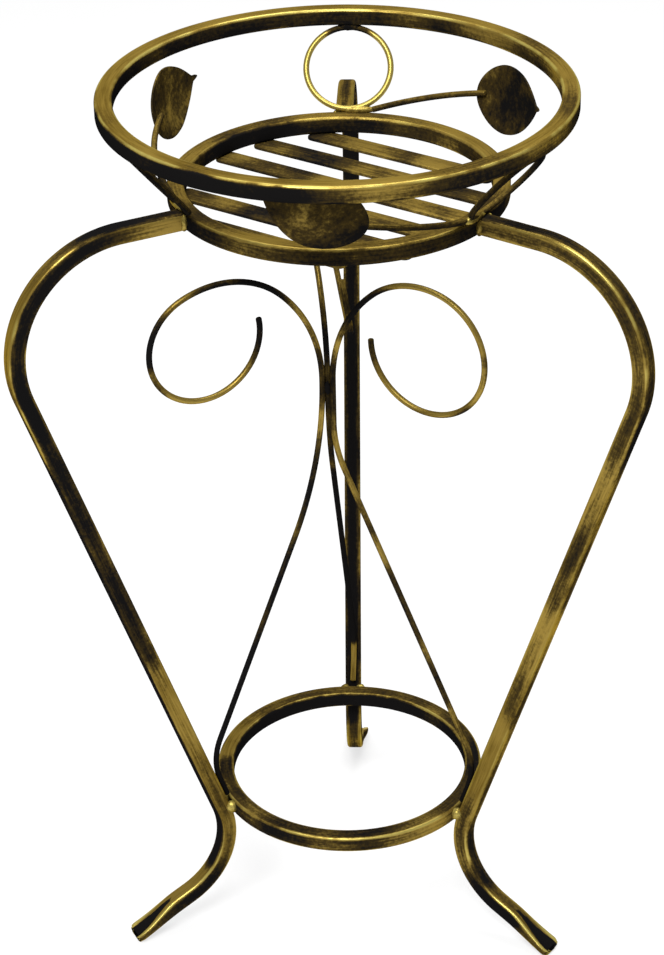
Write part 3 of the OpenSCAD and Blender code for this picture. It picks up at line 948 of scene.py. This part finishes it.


# Corners give the share of gold from rubbing and painted highlight on a leg's corners along it.
LEG_FLATS = {
    "right": {
        "Sides": ((0, 0.52), (0.15, 0.62), (0.22, 0.58), (0.33, 0.48), (0.37, 0.70), (0.42, 0.50),
                  (0.48, 0.66), (0.52, 0.54), (0.57, 0.66), (0.65, 0.66), (0.68, 0.95), (0.77, 0.95),
                  (0.80, 0.48), (0.88, 0.42), (0.905, 0.10), (0.95, 0.10), (0.965, 0.55), (1, 0.70)),
        # The right leg's outer flat is browner than the left's at the shoulder, partly painted shade.
        "Outer": ((0, 0.04), (0.07, 0.20), (0.11, 0.44), (0.24, 0.42), (0.33, 0.34), (0.37, 0.70),
                  (0.80, 0.62), (0.85, 0.16), (0.90, 0.12), (0.92, 0.48), (0.96, 0.55), (1, 0.55)),
        "Corners": ((0, 0.4), (0.10, 0.9), (0.24, 0.9), (0.30, 0.4), (0.80, 0.3), (0.86, 0.9), (1, 1.0)),
    },
    "left": {
        "Sides": ((0, 0.68), (0.06, 0.62), (0.10, 0.28), (0.27, 0.24), (0.42, 0.26), (0.455, 0.42),
                  (0.49, 0.20), (0.59, 0.28), (0.62, 0.84), (0.82, 0.80), (0.87, 0.70), (0.90, 0.28),
                  (0.93, 0.20), (0.965, 0.40), (1, 0.58)),
        "Outer": ((0, 0.0), (0.07, 0.04), (0.13, 0.50), (0.17, 0.80), (0.28, 0.74), (0.33, 0.45),
                  (0.36, 0.15), (0.80, 0.12), (0.885, 0.06), (0.905, 0.85), (0.96, 0.75), (1, 0.60)),
        "Corners": ((0, 0.3), (0.10, 0.4), (0.17, 1.0), (0.28, 0.8), (0.34, 0.15), (0.80, 0.2),
                    (0.88, 0.9), (1, 1.0)),
    },
    "back": {
        "Sides": ((0, 0.40), (0.60, 0.25), (0.84, 0.30), (0.92, 0.55), (1, 0.60)),
        "Outer": ((0, 0.36), (0.30, 0.36), (0.42, 0.25), (0.88, 0.30), (1, 0.50)),
        "Inner": ((0, 0.10), (0.80, 0.06), (0.84, 0.14), (0.855, 0.62), (0.88, 0.80), (0.92, 0.45),
                  (1, 0.55)),
        "Corners": ((0, 0.5), (0.80, 0.5), (1, 0.8)),
    },
}
LEG_FINISH = {
    "right": {"edge": 0.13, "Strokes": 0.48},
    "left": {"edge": 0.14, "Strokes": 0.45},
    "back": {"edge": 0.30, "Strokes": 0.5},
}
# Rows of points along a foot's pressed end, and how far back of it only the last row lies, in rows.
PINCH_ROWS = 9
LAST_ROW = 0.7


class STAND_OT_legs(bpy.types.Operator):
    """Bends a leg from square tube, presses its foot's end shut, and copies it to each bearing"""

    bl_idname = "stand.legs"
    bl_label = "Legs"

    def execute(self, context):
        parts, stock = sizes("frame"), sizes("stock")
        half = stock.tube_w / 2
        start_piece()
        # The section's Z runs outwards and its X points down.
        at = stand_axis() @ moved(parts.seat_d / 2 + stock.fit_gap, 0, parts.seat_top - half) \
            @ turned(QUARTER, "Y")
        square_section(at, False)
        split_flats(at)
        shoulder, knee, foot = leg_bends()[1]
        row = parts.pinch_l / PINCH_ROWS
        stations = bend_section(at, [shoulder, knee, (foot[0] - parts.pinch_l, 0, 0, 0)]
                                + [(row, 0, 0, 0)] * PINCH_ROWS)
        face_out()
        model = bpy.context.object
        wrap_uv(model, stations)
        bpy.ops.object.mode_set(mode="EDIT")
        for n in range(1, PINCH_ROWS + 1):
            share = n / PINCH_ROWS
            ease = share * share * (3 - 2 * share)
            dent_row(stations[n - 1 - PINCH_ROWS], half, parts.pinch_depth * ease, parts.pinch_flare * ease,
                     parts.pinch_sweep if n == PINCH_ROWS else 0)
        end = stations[-1].inverted()
        pick(lambda place: (end @ place).z > -LAST_ROW * row)
        round_cut()
        bpy.ops.object.mode_set(mode="OBJECT")
        bar_l = path_length(stations)
        for which, name in enumerate(LEGS):
            place_copy(model, parts.bearings[which])
            material = tube_material(name + " leg finish", start_of("leg", which), bar_l, LEG_FLATS[name],
                                     tip=(bar_l - parts.pinch_l, bar_l), Patches=0.5,
                                     Shift=(0.31 * which, 0.2, 0.1), **LEG_FINISH[name])
            finish_piece(name + "_leg_tube", [name + "_leg"], material, smooth=50)
        bpy.data.objects.remove(model)
        return {"FINISHED"}


class STAND_OT_slats(bpy.types.Operator):
    """Cuts the six slats from strip, with rolled edges"""

    bl_idname = "stand.slats"
    bl_label = "Slats"

    def execute(self, context):
        parts, stock = sizes("frame"), sizes("stock")
        top = parts.seat_top - stock.tube_w - stock.fit_gap
        for number in range(1, SLAT_COUNT + 1):
            across = ((SLAT_COUNT + 1) / 2 - number) * parts.slat_pitch + parts.slat_shift
            half = math.sqrt((parts.seat_d / 2 - parts.slat_inset) ** 2 - across ** 2)
            start_piece()
            at = stand_axis() @ turned(parts.slat_angle) @ moved(0, across, top - stock.strip_t)
            bpy.ops.mesh.primitive_plane_add(size=1, location=at.translation, rotation=at.to_euler())
            bpy.context.object.scale = (2 * half, stock.strip_w, 1)
            apply_place()
            edit_all()
            bevel(stock.strip_corner, CORNER_STEPS, "VERTICES")
            bpy.ops.mesh.extrude_region_move(TRANSFORM_OT_translate={"value": (0, 0, stock.strip_t)})
            face_out()
            round_edges(stock.strip_edge, ROLL_STEPS)
            # Upward faces get painted light from above.
            material = object_material(
                "slat finish", SLAT_STROKES, parts.slat_angle,
                **{"Cover": 0.40, "Patches": 0.8, "Strokes": 0.36, "Top": 0.14, "Patch Scale": 26.0})
            finish_piece("slat_%d_strip" % number, ["slat_%d" % number], material)
        return {"FINISHED"}


def bend_wire(node, at, bends, start, cover, **values):
    """Bends a piece of round wire, rounds its cut ends and brushes it."""
    start_piece()
    round_section(at, False)
    stations = bend_section(at, bends)
    round_cut()
    face_out()
    material = wire_material(node.replace("_", " ") + " finish", start, path_length(stations), cover,
                             **values)
    piece = finish_piece(node + "_wire", [node], material, smooth=60)
    wrap_uv(piece, stations)


SCROLL_COVER = {
    "right": ((0, 0.10), (0.10, 0.30), (0.30, 0.38), (0.48, 0.46), (0.55, 0.40), (0.585, 0.14),
              (0.63, 0.12), (0.66, 0.74), (0.76, 0.74), (0.80, 0.40), (0.84, 0.72), (0.96, 0.70), (1, 0.35)),
    "left": ((0, 0.02), (0.22, 0.08), (0.34, 0.38), (0.50, 0.46), (0.58, 0.42), (0.635, 0.06),
             (0.69, 0.06), (0.72, 0.70), (0.755, 0.55), (0.775, 0.08), (0.79, 0.08), (0.82, 0.55),
             (0.90, 0.78), (0.95, 0.62), (0.975, 0.10), (1, 0.10)),
    "back": ((0, 0.85), (0.04, 0.85), (0.05, 0.02), (0.35, 0.06), (0.50, 0.34), (0.62, 0.48), (1, 0.50)),
}
# Gold from rubbing on the scrolls, partly painted highlight.
SCROLL_RUB_AND_HIGHLIGHT = {"right": 0.10, "left": 0.08, "back": 0.0}


class STAND_OT_scrolls(bpy.types.Operator):
    """Bends the three scrolls from round wire"""

    bl_idname = "stand.scrolls"
    bl_label = "Scrolls"

    def execute(self, context):
        lean = leg_bends()[0]
        for which, name in enumerate(LEGS):
            foot, throat = scroll_start(which)
            bearing = math.atan2(foot.y - throat.y, foot.x - throat.x)
            at = Matrix.Translation(foot) @ turned(bearing) @ turned(lean, "Y")
            bend_wire(name + "_scroll", at, scroll_bends(which), start_of("scroll", which),
                      SCROLL_COVER[name], Shift=(0.2 * which, 0, 0), Rubbed=SCROLL_RUB_AND_HIGHLIGHT[name],
                      **{"Patches": 0.9, "Patch Scale": 34.0})
        return {"FINISHED"}


# A circle's way starts at the rim and passes the seat ring halfway.
CIRCLE_COVER = {
    "right": ((0, 0.10), (0.30, 0.36), (0.70, 0.44), (1, 0.10)),
    "left": ((0, 0.10), (0.30, 0.34), (0.70, 0.30), (1, 0.10)),
    "back": ((0, 0.0), (0.07, 0.05), (0.12, 0.92), (0.88, 0.92), (0.93, 0.05), (1, 0.0)),
}
# The back circle's bright gold is gold from rubbing and painted highlight.
CIRCLE_RUB_AND_HIGHLIGHT = {"right": 0.0, "left": 0.0, "back": 0.4}


class STAND_OT_circles(bpy.types.Operator):
    """Bends a circle that carries the rim ring, and copies it above each leg"""

    bl_idname = "stand.circles"
    bl_label = "Circles"

    def execute(self, context):
        bearings, turns = sizes("frame").bearings, sizes("basket").circle_turn
        foot, head = basket_line()
        middle = (foot + head) / 2
        at = stand_axis() @ moved(middle.x, 0, middle.y) @ turned(-basket_slope(), "Y")
        round_l = model_ring(at, (head - foot).length / 2, round_section)
        model = bpy.context.object
        for which, name in enumerate(LEGS):
            place_copy(model, bearings[which] + turns[which])
            material = wire_material(name + " circle finish", start_of("circle", which), round_l,
                                     CIRCLE_COVER[name], loop=True, Patches=0.4, Rubbed=CIRCLE_RUB_AND_HIGHLIGHT[name])
            finish_piece(name + "_circle_wire", [name + "_circle"], material, smooth=60)
        bpy.data.objects.remove(model)
        return {"FINISHED"}


def three_point_arc(a, b, c):
    """Start frame, radius and angle of the arc from a through b to c."""
    ab, ac = b - a, c - a
    across = ab.cross(ac)
    middle = a + (across.cross(ab) * ac.length_squared + ac.cross(across) * ab.length_squared) \
        / (2 * across.length_squared)
    radius = (a - middle).length
    inward = (middle - a).normalized()
    axis = across.normalized()
    heading = inward.cross(axis)
    side = heading.cross(inward)
    at = Matrix((inward, side, heading)).transposed().to_4x4()
    at.translation = a
    return at, radius, (a - middle).angle(c - middle)


STEM_COVER = {"right": 0.32, "left": 0.32, "back": 0.46}


class STAND_OT_stems(bpy.types.Operator):
    """Bends the three stems, from each circle's foot to its leaf"""

    bl_idname = "stand.stems"
    bl_label = "Stems"

    def execute(self, context):
        basket = sizes("basket")
        for which, name in enumerate(LEGS):
            start, end = basket.stem_start, basket.stem_end[which]
            points = [basket_point(which, bearing, stem_height(which, bearing)).translation
                      for bearing in (start, (start + end) / 2, end)]
            at, radius, bend = three_point_arc(*points)
            cover = STEM_COVER[name]
            bend_wire(name + "_stem", at, [(0, 0, radius, bend)], start_of("stem", which),
                      ((0, cover), (1, cover)), Patches=0.7)
        return {"FINISHED"}


# The blade's end and fullness, and the width of the nib, as shares of the leaf.
BLADE_SHARE = 0.93
BLADE_POWER = 2
NIB_W = 0.22
LEAF_STEPS = 48
LEAF_RIBS = 14
# Rounding of a leaf's edges, as a share of the sheet.
EDGE_SHARE = 0.3
EDGE_STEPS = 2
# Waves of a leaf per metre, and their height in millimetres.
WAVES = 60
WAVE_MM = 0.5
TIP_MERGE = 0.02 * MM
# Cover and patches of the front, left and right leaf.
LEAF_BRUSH = ((0.45, 0.45), (0.36, 0.4), (0.32, 0.75))


def leaf_shape(t):
    """Width of a leaf at the share t of its length, blade and nib."""
    blade = math.sqrt(t) * (1 - min(t / BLADE_SHARE, 1) ** BLADE_POWER)
    return blade + NIB_W * math.sqrt(t * (1 - t))


def leaf_half(t):
    """Half the leaf's width at the share t of its length."""
    widest = max(leaf_shape(n / 100) for n in range(101))
    return sizes("basket").leaf_w / 2 * leaf_shape(t) / widest


def leaf_frame(which):
    """Frame of a leaf at its heel: X to the tip, Z on its hollow side."""
    basket, stock = sizes("basket"), sizes("stock")
    stem_end = basket.stem_end[which]
    end = basket_point(which, stem_end, stem_height(which, stem_end))
    reach = (stand_axis().inverted() @ end.translation).xy.length
    heel = stem_end - basket.leaf_lap / reach
    at = basket_point(which, heel, stem_height(which, heel)) @ turned(-basket_slope(), "Y")
    at = at @ turned(-QUARTER) @ turned(basket.leaf_lift[which])
    at = at @ turned(-basket.leaf_turn[which], "Y") @ turned(basket.leaf_lean[which], "X")
    return at @ moved(z=-stock.wire_d / 2 - stock.fit_gap)


class STAND_OT_leaves(bpy.types.Operator):
    """Presses the three dished leaves from sheet"""

    bl_idname = "stand.leaves"
    bl_label = "Leaves"

    def execute(self, context):
        basket, stock = sizes("basket"), sizes("stock")
        dish = basket.leaf_dish_r
        sag = math.sqrt(dish ** 2 - (basket.leaf_l / 2) ** 2)
        for which, name in enumerate(LEAVES):
            start_piece()
            bpy.ops.mesh.primitive_grid_add(x_subdivisions=LEAF_STEPS, y_subdivisions=LEAF_RIBS, size=2)
            piece = bpy.context.object
            for vertex in piece.data.vertices:
                t = (1 + math.sin(QUARTER * max(-1.0, min(1.0, vertex.co.x)))) / 2
                x = t * basket.leaf_l
                y = vertex.co.y * leaf_half(t)
                wave = noise.noise(Vector((x, y, which * 0.1)) * WAVES) * WAVE_MM * MM
                z = sag - math.sqrt(dish ** 2 - (x - basket.leaf_l / 2) ** 2 - y ** 2) + wave
                vertex.co = (x, y, z)
            edit_all()
            bpy.ops.mesh.remove_doubles(threshold=TIP_MERGE)
            bpy.ops.object.mode_set(mode="OBJECT")
            piece.data.transform(leaf_frame(which))
            apply_modifier("SOLIDIFY", thickness=stock.sheet_t, offset=-1)
            round_edges(stock.sheet_t * EDGE_SHARE, EDGE_STEPS)
            cover, patches = LEAF_BRUSH[which]
            material = object_material(
                # Upward faces get painted light from above.
                name + " leaf finish", LEAF_STROKES, metal=0.5,
                **{"Cover": cover, "Patches": patches, "Strokes": 0.5, "Top": 0.05, "Patch Scale": 34.0,
                   "Shift": (0.17 * which, 0.4, 0.2)})
            finish_piece(name + "_leaf_sheet", [name + "_leaf"], material, smooth=60)
        return {"FINISHED"}


# Lumps of a bead per metre.
LUMPS = 420


def add_bead(at, radii, seed):
    """Lumpy bead with the given radii about the frame's axes."""
    bpy.ops.mesh.primitive_uv_sphere_add(segments=20, ring_count=12, radius=1, location=at.translation,
                                         rotation=at.to_euler(), scale=radii)
    apply_place()
    bead = bpy.context.object
    lump = sizes("welds").lump
    middle = at.translation
    for vertex in bead.data.vertices:
        out = (vertex.co - middle).normalized()
        vertex.co += out * lump * noise.noise(vertex.co * LUMPS + Vector((seed, 0, 0)))
    return bead


def join_beads(node, beads, material):
    start_piece()
    for bead in beads:
        bead.select_set(True)
    bpy.context.view_layer.objects.active = beads[0]
    if len(beads) > 1:
        bpy.ops.object.join()
    finish_piece(node.replace("weld", "bead"), [node], material, smooth=80)


class STAND_OT_welds(bpy.types.Operator):
    """Lays the weld beads where tubes and wires meet"""

    bl_idname = "stand.welds"
    bl_label = "Welds"

    def execute(self, context):
        parts, stock, welds = sizes("frame"), sizes("stock"), sizes("welds")
        half = stock.tube_w / 2
        # Bead tops get painted light from above, and the bright beads gold from rubbing and painted
        # highlight.
        bright = bead_material("bright bead finish", Cover=0.50, Top=0.25, Rubbed=0.45)
        dark = bead_material("dark bead finish", Cover=0.20, Top=0.1)

        def corner_beads(reach, radius, low, high, seed):
            beads = []
            for which in range(len(LEGS)):
                for side in (-1, 1):
                    at = leg_frame(which) @ moved(reach + radius / 3, side * half, (low + high) / 2)
                    beads.append(add_bead(at, (radius, radius, (high - low) / 2), seed + which + side / 3))
            return beads

        seat, low_top = parts.seat_top, parts.low_ring_top
        join_beads("seat_ring_welds", corner_beads(
            parts.seat_d / 2, welds.seat_bead_r, seat - stock.tube_w, seat, seed=1.0), bright)
        join_beads("lower_ring_welds", corner_beads(
            lower_ring_r(), welds.low_bead_r, low_top - half - welds.low_bead_r,
            low_top - half + welds.low_bead_r * 4 / 3, seed=5.0), bright)

        foot, head = basket_line()
        radius = welds.wire_bead_r
        far = foot.x * math.sin(sizes("basket").stem_start) + stock.wire_d / 2
        feet, heads = [], []
        for which in range(len(LEGS)):
            at = circle_frame(which) @ moved(foot.x, (stock.wire_d - far) / 2, seat + radius / 2)
            feet.append(add_bead(at, (radius, (far + stock.wire_d) / 2, radius * 0.9), seed=9.0 + which))
            at = circle_frame(which) @ moved(head.x, 0, head.y + stock.wire_d / 2 - radius / 2)
            heads.append(add_bead(at, (radius, stock.wire_d * 2, radius * 0.9), seed=13.0 + which))
        join_beads("circle_foot_welds", feet, bright)
        join_beads("circle_head_welds", heads, dark)

        low, high = (Vector(corner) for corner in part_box("throat_weld"))
        bead = add_bead(Matrix.Translation((low + high) / 2), tuple((high - low) / 2), seed=17.0)
        join_beads("throat_weld", [bead], dark)
        return {"FINISHED"}


# ---- Stage ----

WHITE = (1, 1, 1, 1)
SENSOR_W = 36
VIEW_END = 50
FLOOR_W = 30
# Shares of the floor's glow to the camera, and of the world's light on the stand.
FLOOR_GLOW = 0.7
WORLD_LEVEL = 0.32
# Name, place, size and power of each softbox, and the point that they are aimed at.
SOFTBOXES = (("front softbox", (-0.4, -1.5, 2.4), (1.4, 0.9), 80),
             ("top softbox", (0.2, 0.6, 2.6), (1.8, 1.2), 50))
AIM = (0, 0, 0.3)


def camera_frame():
    """Place and turn of the camera."""
    stage = sizes("stage")
    bearing, height = stage.bearing, stage.elevation
    right = Vector((math.cos(bearing), math.sin(bearing), 0))
    back = Vector((math.sin(bearing) * math.cos(height), -math.cos(bearing) * math.cos(height),
                   math.sin(height)))
    up = back.cross(right)
    target = stand_axis() @ (right * stage.target_side + Vector((0, 0, stage.target_z)))
    at = Matrix((right, up, back)).transposed().to_4x4() @ turned(stage.roll)
    at.translation = target + back * stage.distance
    return at


def add_camera():
    data = bpy.data.cameras.new("Camera")
    data.lens = sizes("stage").lens
    data.sensor_width = SENSOR_W
    data.clip_end = VIEW_END
    camera = bpy.data.objects.new("Camera", data)
    camera.matrix_world = camera_frame()
    bpy.context.scene.collection.objects.link(camera)
    bpy.context.scene.camera = camera


def add_softbox(name, place, size, power):
    data = bpy.data.lights.new(name, "AREA")
    data.shape = "RECTANGLE"
    data.size, data.size_y = size
    data.energy = power
    lamp = bpy.data.objects.new(name, data)
    lamp.location = place
    lamp.rotation_euler = (Vector(AIM) - Vector(place)).to_track_quat("-Z", "Y").to_euler()
    bpy.context.scene.collection.objects.link(lamp)


def paint_floor(floor):
    """Pale floor that glows to the camera, and keeps the stand's shadow."""
    material, nodes, shader = new_material("floor finish")
    nodes.feed_all(shader.inputs, {"Base Color": rgba(sizes("finish").floor), "Roughness": 0.9,
                                   "Specular IOR Level": 0.0})
    glow = nodes.place("Emission", {"Color": WHITE})
    seen = nodes.times(nodes.add("LightPath").outputs["Is Camera Ray"], FLOOR_GLOW)
    mixed = nodes.fill(nodes.add("MixShader"), seen, shader.outputs["BSDF"], glow.outputs["Emission"])
    nodes.feed(material.node_tree.nodes["Material Output"].inputs["Surface"], mixed)
    floor.data.materials.append(material)


def light_world():
    """World that is white to the camera and lights the stand at its level."""
    world = bpy.data.worlds.new("Studio")
    bpy.context.scene.world = world
    world.use_nodes = True
    nodes = Nodes(world.node_tree)
    rays = nodes.add("LightPath").outputs
    seen = nodes.maths("MAXIMUM", rays["Is Camera Ray"], rays["Is Transmission Ray"])
    nodes.feed_all(world.node_tree.nodes["Background"].inputs,
                   {"Color": WHITE, "Strength": nodes.plus(seen, 1 - WORLD_LEVEL, WORLD_LEVEL)})


class STAND_OT_stage(bpy.types.Operator):
    """Sets up the floor, the lights and the camera"""

    bl_idname = "stand.stage"
    bl_label = "Stage"

    def execute(self, context):
        start_piece()
        bpy.ops.mesh.primitive_plane_add(size=FLOOR_W, location=(0, 0, 0))
        floor = bpy.context.object
        floor.name = "floor"
        apply_place()
        paint_floor(floor)
        for softbox in SOFTBOXES:
            add_softbox(*softbox)
        light_world()
        add_camera()
        bpy.context.scene.view_settings.view_transform = "Standard"
        return {"FINISHED"}


class STAND_PT_panel(bpy.types.Panel):
    """Lists the stand's operators"""

    bl_idname = "STAND_PT_panel"
    bl_label = "Plant Stand"
    bl_space_type = "VIEW_3D"
    bl_region_type = "UI"
    bl_category = "Plant Stand"

    def draw(self, context):
        for operator in OPERATORS:
            self.layout.operator(operator.bl_idname)


GROUPS = (("stock", StandStock), ("frame", StandFrame), ("scrolls", StandScrolls),
          ("basket", StandBasket), ("welds", StandWelds), ("finish", StandFinish), ("stage", StandStage))
OPERATORS = (STAND_OT_rings, STAND_OT_legs, STAND_OT_slats, STAND_OT_scrolls, STAND_OT_circles,
             STAND_OT_stems, STAND_OT_leaves, STAND_OT_welds, STAND_OT_stage)


def register():
    for name, group in GROUPS:
        bpy.utils.register_class(group)
        setattr(bpy.types.Scene, "stand_" + name, PointerProperty(type=group))
    for operator in OPERATORS:
        bpy.utils.register_class(operator)
    bpy.utils.register_class(STAND_PT_panel)


def unregister():
    bpy.utils.unregister_class(STAND_PT_panel)
    for operator in reversed(OPERATORS):
        bpy.utils.unregister_class(operator)
    for name, group in reversed(GROUPS):
        delattr(bpy.types.Scene, "stand_" + name)
        bpy.utils.unregister_class(group)


def main():
    register()
    bpy.ops.stand.rings()
    bpy.ops.stand.legs()
    bpy.ops.stand.slats()
    bpy.ops.stand.scrolls()
    bpy.ops.stand.circles()
    bpy.ops.stand.stems()
    bpy.ops.stand.leaves()
    bpy.ops.stand.welds()
    bpy.ops.stand.stage()


if __name__ == "__main__":
    main()
